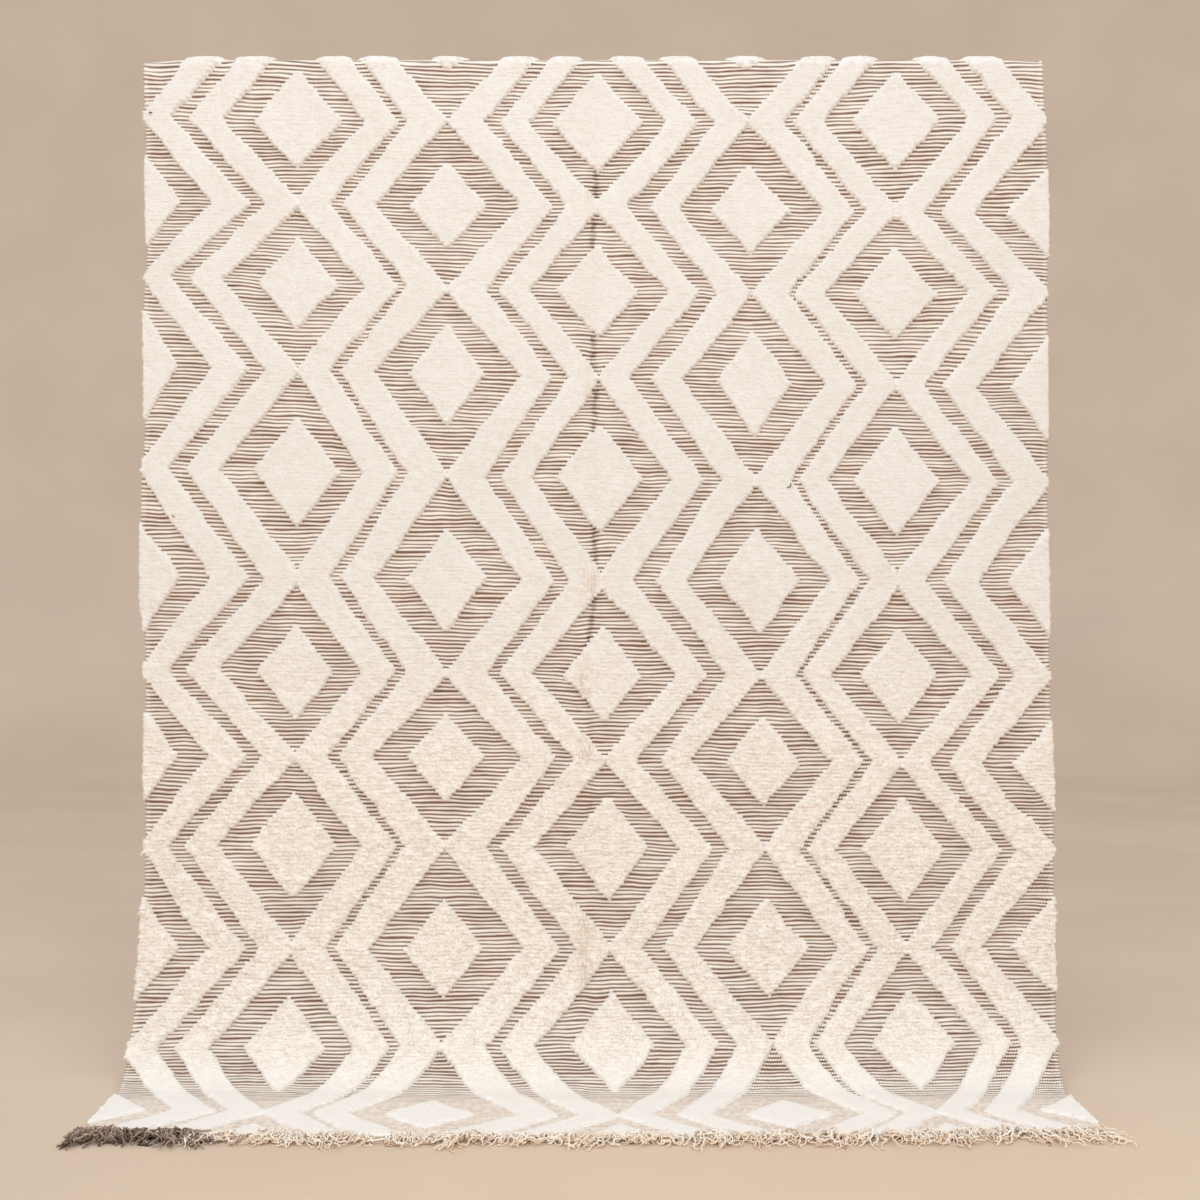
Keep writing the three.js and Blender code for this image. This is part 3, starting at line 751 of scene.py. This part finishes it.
def pile_height(across, down, deepest, lump, trodden, dome):
    """How high the pile stands on the ground, and below zero beside it."""
    rise = 1 - np.clip(deepest / (EDGE_ROUND + CREST_ROUND * dome), 0, 1)
    full = PILE * (PRESSED + (1 - PRESSED) * smooth_step(down, *PRESSED_TO)) * (1 - TRODDEN_FLAT * trodden)
    height = full * (1 + CREST_RISE * dome) * np.sqrt(1 - rise * rise) * lump
    return np.where(deepest > 0, height, deepest * 0.9)


def leaning_out(deepest, height):
    """How far the pile leans out over its rim: across the cloth, and down it."""
    steepness = np.stack([np.gradient(deepest, axis=1) / PILE_NET,
                          np.gradient(deepest, axis=0) * STRIPES * KNOT_NET / LENGTH])
    outward = -steepness / (np.linalg.norm(steepness, axis=0) + 0.3)
    lean = SPREAD * np.clip(height / PILE, 0, 1) * (1 - smooth_step(deepest, 0, SPREAD_FROM))
    return outward[0] * lean, outward[1] * lean


def with_rims(values):
    """Repeats the first and last lines of a net both ways, for the pile that leans over the rims."""
    for axis in (0, 1)[:values.ndim]:
        first, last = (np.take(values, [end] * len(OVERHANG), axis) for end in (0, -1))
        values = np.concatenate([first, values, last], axis)
    return values


def overhung(random, across, down, raised, row):
    """Lets a net's repeated lines lean out over the cloth's rims."""
    extra = len(OVERHANG)
    on_left = across < 0
    lower = smooth_step(down, *SHAG_FROM)
    least, more = (np.where(on_left, *pair) for pair in zip(SHAG_LEFT, SHAG_RIGHT))
    tufts = (0.25 + 0.6 * lower) * unevenness(down, across, size=0.018, seed=26)
    tufts = tufts + 1.6 * lower * (unevenness(down, 0.3 * across, size=0.05, seed=27) > 1.25)
    single = random.normal(0, 1, (row.max() + 1, 2))[with_rims(row[:, 0])]
    tufts = tufts + 0.32 * np.where(on_left, single[:, :1], single[:, 1:])
    shag = least + more * lower + tufts + 0.20 * random.normal(0, 1, down.shape)
    shag = np.clip(shag, *SHAG_RANGE)
    for step, (out, share) in enumerate(OVERHANG):
        near, far = extra - 1 - step, step - extra
        down[near] -= out
        down[far] += out
        across[:, near] -= out * shag[:, near]
        across[:, far] += out * shag[:, far]
        for line in (np.s_[near], np.s_[far], np.s_[:, near], np.s_[:, far]):
            raised[line] *= share


def pile_net():
    """The points and depths of a net over the whole cloth, and the values that its finish reads."""
    random = np.random.default_rng(11)
    columns = round(WIDTH / PILE_NET) + 1
    across = np.linspace(-WIDTH / 2, WIDTH / 2, columns)[None, :]
    base = np.linspace(-FLAP, FRONT, STRIPES * KNOT_NET + 1)[:, None]
    down = weave(across, base)
    across = across + 0 * down
    row, (in_row, in_column), longer, tone, ragged = knots(random, *down.shape)

    trodden = smooth_step(base, *TRODDEN_FROM) + 0 * down
    depth = knotted_depth(across, down, base, row, ragged, trodden)
    deepest = depth.max(0)
    curly = (CURLY_LEAST + (1 - CURLY_LEAST) * smooth_step(down, *CURLY_FROM)) * (1 - 0.7 * trodden)
    combed = tousled(across, down)
    lower_down, lower_across = KNOT_ROUND
    lump = 1 + curly * (KNOT_UNEVEN * longer - lower_down * in_row - lower_across * in_column)
    lump = lump + (TUFT_UNEVEN[0] + TUFT_UNEVEN[1] * curly) * random.normal(0, 1, down.shape)
    lump = lump + 0.04 * unevenness(across, down, size=0.05, seed=22)
    lump = lump + 0.30 * combed * unevenness(across * 5, down * 0.7, size=0.05, seed=25)
    dome = 1 - smooth_step(np.abs(down), 0.4 * CREST_DOME, CREST_DOME)
    height = pile_height(across, down, deepest, lump, trodden, dome)
    raised = GROUND + np.maximum(height, -PILE_UNDER)

    nap = NAP * np.maximum(height, 0) * (1 - dome)
    lean_across, lean_down = leaning_out(deepest, height)
    down = wavered(across, down, base) + nap * smooth_step(base, -FLAP, CLOTH_END - FLAP)
    down = down + lean_down * clear_of_ends(base, CLOTH_END)
    across = across + lean_across * (1 - smooth_step(np.abs(across), WIDTH / 2 - CLOTH_SIDE, WIDTH / 2))
    stray = random.normal(0, STRAY, (2, *down.shape))

    across, down, raised = (with_rims(net) for net in (across + stray[0], down + stray[1], raised))
    overhung(random, across, down, raised, row)
    weft = (base + FLAP) * STRIPES / LENGTH + 0 * trodden
    # How near its rim a place is, for the painted light there
    rim = 1 - smooth_step(deepest, 0, RIM_LIGHT_BREADTH)
    values = {"tone": tone, "combed": combed, "curly": curly, "weft": weft, "rim": rim, "trodden": trodden}
    values = {name: with_rims(value) for name, value in values.items()}
    return across, down, raised, np.stack([with_rims(layer) for layer in depth]), values


def pile_pieces():
    across, down, raised, depth, values = pile_net()
    points = hung(across, down, raised).reshape(-1, 3)
    flat = np.stack([across, down, raised], -1).reshape(-1, 3)
    faces = sheet_faces(*down.shape)
    owner = depth.argmax(0).ravel()[faces[:, 0]]
    covered = (depth.max(0).ravel()[faces] > 0).any(1)
    material = pile_finish()
    made = []
    for column in range(len(COLUMNS)):
        used, own_faces = np.unique(faces[covered & (owner == column)], return_inverse=True)
        piece = mesh_object(f"pile_column_{column + 1}", points[used], own_faces.reshape(-1, 4), material)
        own_values = {name: value.ravel()[used] for name, value in values.items()}
        set_values(piece, cloth=flat[used], **own_values)
        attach(piece, "root")
        made.append(piece)
    return made


pile = pile_pieces()


# The fringe is the warp's own ends, cream but for a dark corner at the left, left loose and
# curled up into a tangle on the floor in front of the woven end.
YARN = 0.0017  # half the yarn's thickness
YARN_RANGE = (0.75, 1.15)  # the thinnest and the thickest yarn, as shares of that
YARN_POINTS = 21  # along each end
YARN_SIDES = 5
CREAM_YARNS = 700
GREY_YARNS = 220
GREY_BREADTH = 0.228
GREY_CROWDED = 1.5  # the grey ends stand closer towards the corner
MINGLED = 0.03  # grey and cream ends mingle this far both ways

OUT_OF_CLOTH = 0.0025  # height of the warp in the cloth
FORWARD = (0.010, 0.054)  # how far forward the ends lie
ASIDE = 0.075  # about the most that they lie aside
FANNED = (0.004, 0.030)  # how far the outermost ones fan out at the left and the right
PAST_SELVEDGE = (0.014, 0.036)  # how far past the left and right selvedge they may drift
HEAP = 0.017  # about the most that they rise
HEAP_SHARES = (0.15, 1.0)
CURL = (0.004, 0.014)  # radius of the curl at an end's tip
CURL_TURNS = (0.4, 1.4)
CRIMP = (0.0010, 0.0026)  # half the height of the crimp that the weave left in the yarn
CRIMP_TURNS = (3, 6)  # crimps along an end

# The dark colours are partly the darker yarns' own and partly painted shade near the floor, tinted warm as
# by light bounced off the floor
GREY_WOOL = ((0.018, 0.008, 0.004), (0.46, 0.335, 0.26), (0.6, 0.48, 0.38))  # dark, light, stray
CREAM_ENDS = ((0.86, 0.66, 0.47), (1.00, 0.95, 0.88), (0.62, 0.47, 0.35))
STRAY_TONES = (0.955, 0.965)  # yarns with a tone above these are of the stray colour
FLOOR_SHADE = 0.020  # painted shade: the heap is darker below this height


def yarn_finish(name, dark, light, stray):
    material, start = finish_of(name)
    tone = read(start, "tone")
    cloth = read(start, "cloth", 1)
    twist = flecks(cloth, 700, 700, 700)
    high = read(start, "high")
    # The yarn is darker with its tone and twist, and with painted shade towards the floor
    colour = mixed(ramp(tone * 0.45 + twist * 0.25 + high * 0.30, 0.15, 0.80), dark, light)
    colour = mixed(ramp(tone, *STRAY_TONES), colour, stray)
    bumps = {"Height": twist, "Distance": 0.0006, "Strength": 0.6}
    surface(start, colour, 0.95, start.node("Bump", {}, bumps), 0.08)
    return material


def tube_faces(count, steps):
    """The faces of so many closed tubes, whose rings are stored one after another."""
    around = np.arange(YARN_SIDES)
    ring = np.arange(steps - 1)[:, None] * YARN_SIDES
    corner, beside = ring + around, ring + (around + 1) % YARN_SIDES
    tube = np.stack([corner, beside, beside + YARN_SIDES, corner + YARN_SIDES], -1).reshape(-1, 4)
    caps = np.array([around[::-1], around + (steps - 1) * YARN_SIDES])
    each = np.arange(count)[:, None, None] * steps * YARN_SIDES
    walls = (tube[None] + each).reshape(-1, 4)
    return [*walls.tolist(), *(caps[None] + each).reshape(-1, YARN_SIDES).tolist()]


def yarns(name, paths, thickness, tones, material):
    """Many lengths of yarn as closed tubes in one mesh. paths holds the points of each."""
    count, steps, _ = paths.shape
    along = np.gradient(paths, axis=1)
    along /= np.linalg.norm(along, axis=2, keepdims=True) + 1e-9
    normal = np.cross(along[:, 0], [0.3, 0.2, 1.0])
    turn = np.arange(YARN_SIDES) / YARN_SIDES * tau
    rings = []
    for step in range(steps):
        heading = along[:, step]
        normal = normal - (normal * heading).sum(1, keepdims=True) * heading
        normal /= np.linalg.norm(normal, axis=1, keepdims=True) + 1e-9
        other = np.cross(heading, normal)
        round_it = normal[:, None] * np.cos(turn)[:, None] + other[:, None] * np.sin(turn)[:, None]
        rings.append(paths[:, step, None] + round_it * thickness[:, step, None, None])
    points = np.stack(rings, 1).reshape(-1, 3)
    made = mesh_object(name, points, tube_faces(count, steps), material)
    # How high each point lies, for the painted shade near the floor
    high = np.clip(points[:, 2] / FLOOR_SHADE, 0, 1)
    set_values(made, tone=np.repeat(tones, steps * YARN_SIDES), cloth=points, high=high)
    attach(made, "root")
    return made


def loose_ends(left, right, count, seed, crowded=1.0):
    """Crimped and curled paths, heaped up in front of the woven end and never under the floor."""
    random = np.random.default_rng(seed)

    def each(low, high):
        return random.uniform(low, high, (count, 1))

    root = left + (right - left) * np.sort(random.uniform(0, 1, count))[:, None] ** crowded
    t = np.linspace(0, 1, YARN_POINTS)[None, :]
    start = hung(root, weave(root, FRONT + 0 * root), OUT_OF_CLOTH + 0 * root)
    short = np.where(root < 0, *END_SHORT) * root**2
    sideways = 0.7 * each(-1, 1) ** 3 + 0.3 * each(-1, 1)
    forward = each(*FORWARD) * (1 + 0.4 * unevenness(root, 0, size=0.045, seed=31))
    forward = forward * (1 - 0.4 * np.abs(sideways)) + each(0.3, 1) * short
    fanned_left, fanned_right = FANNED
    fanned = np.where(root > 0, fanned_right, fanned_left) * np.sign(root) * np.abs(root) ** 14
    drift = fanned + ASIDE * sideways + 0.018 * unevenness(root, 0, size=0.05, seed=32)
    past_left, past_right = PAST_SELVEDGE
    drift = np.clip(drift, -past_left - WIDTH / 2 - root, past_right + WIDTH / 2 - root)
    lift = each(*HEAP_SHARES) * HEAP * (1 + 0.2 * unevenness(root, 0, size=0.08, seed=33))
    dropped = each(0.0, 1.0) ** 0.5
    curl = each(*CURL) * t**0.6
    curling = each(0, tau) + each(*CURL_TURNS) * random.choice([-1, 1], (count, 1)) * tau * t
    crimp = each(*CRIMP) * smooth_step(t, 0, 0.15)
    crimping = each(0, tau) + each(*CRIMP_TURNS) * tau * t
    x = start[..., 0] + drift * t**1.2 + curl * np.cos(curling) + crimp * np.sin(crimping)
    y = start[..., 1] - forward * t ** each(0.6, 1.1) + curl * np.sin(curling)
    rise = np.sin(pi * np.minimum(t**0.7, 0.5)) - dropped * smooth_step(t, 0.35, 1.0)
    z = start[..., 2] + lift * rise + 0.35 * curl * np.sin(curling + 1.3) + crimp * np.cos(crimping)
    thickness = YARN * each(*YARN_RANGE) * (1 - 0.35 * t**4)
    paths = np.stack([x, y, np.maximum(z, thickness)], -1)
    return paths, thickness, random.uniform(0, 1, count)


grey_end = GREY_BREADTH - WIDTH / 2
grey_ends = loose_ends(-WIDTH / 2, grey_end + MINGLED, GREY_YARNS, seed=41, crowded=GREY_CROWDED)
grey_fringe = yarns("grey_loose_ends", *grey_ends, yarn_finish("grey_yarn", *GREY_WOOL))
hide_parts("fringe_grey")

cream_ends = loose_ends(grey_end - MINGLED, WIDTH / 2, CREAM_YARNS, seed=42)
cream_fringe = yarns("cream_loose_ends", *cream_ends, yarn_finish("cream_yarn", *CREAM_ENDS))
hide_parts("fringe_cream")


# A few dark and rust fibres are caught in the pile, and three cream ends of knots stand out of
# its left edge: short lengths of spun wool, held by the weaving alone.
CAUGHT = np.array([
    # across, down, length, half thickness, heading in turns, tone
    (-0.987, 0.123, 0.006, 0.0016, 0.10, 0.00),
    (0.425, 0.958, 0.014, 0.0012, 0.92, 0.00),
    (-0.276, 0.283, 0.006, 0.0013, 0.05, 0.50),
    (-0.926, 1.020, 0.006, 0.0014, 0.12, 0.50),
    (-0.994, 1.758, 0.016, 0.0022, 0.49, 1.00),
    (-0.994, 1.890, 0.017, 0.0022, 0.50, 1.00),
    (-0.992, 2.058, 0.014, 0.0022, 0.47, 1.00),
])
CAUGHT_POINTS = 9
CAUGHT_BEND = 0.06  # how far they bend, in turns
CAUGHT_ARCH = 0.004  # how high they arch
CAUGHT_SUNK = 0.75  # they leave the pile at this share of its height
CAUGHT_WOOL = [
    # tone and colour: dark, rust and cream
    (0.0, (0.055, 0.030, 0.022)),
    (0.5, (0.52, 0.20, 0.10)),
    (1.0, (0.93, 0.90, 0.86)),
]


def caught_finish():
    material, start = finish_of("caught_wool")
    colour = start.node("ValToRGB", {"stops": CAUGHT_WOOL}, {"Fac": read(start, "tone")})
    surface(start, colour, 0.95)
    return material


def caught_fibres():
    across, down, length, half, heading, tones = CAUGHT.T[..., None]
    t = np.linspace(0, 1, CAUGHT_POINTS)
    heading = tau * (heading + CAUGHT_BEND * np.sin(5 * t))
    raised = GROUND + CAUGHT_SUNK * PILE + CAUGHT_ARCH * np.sin(pi * t) + 0 * length
    paths = hung(across + length * t * np.cos(heading), down + length * t * np.sin(heading), raised)
    thickness = half * (1 - 0.5 * t**3)
    return yarns("caught_fibres", paths, thickness, tones[:, 0], caught_finish())


caught = caught_fibres()
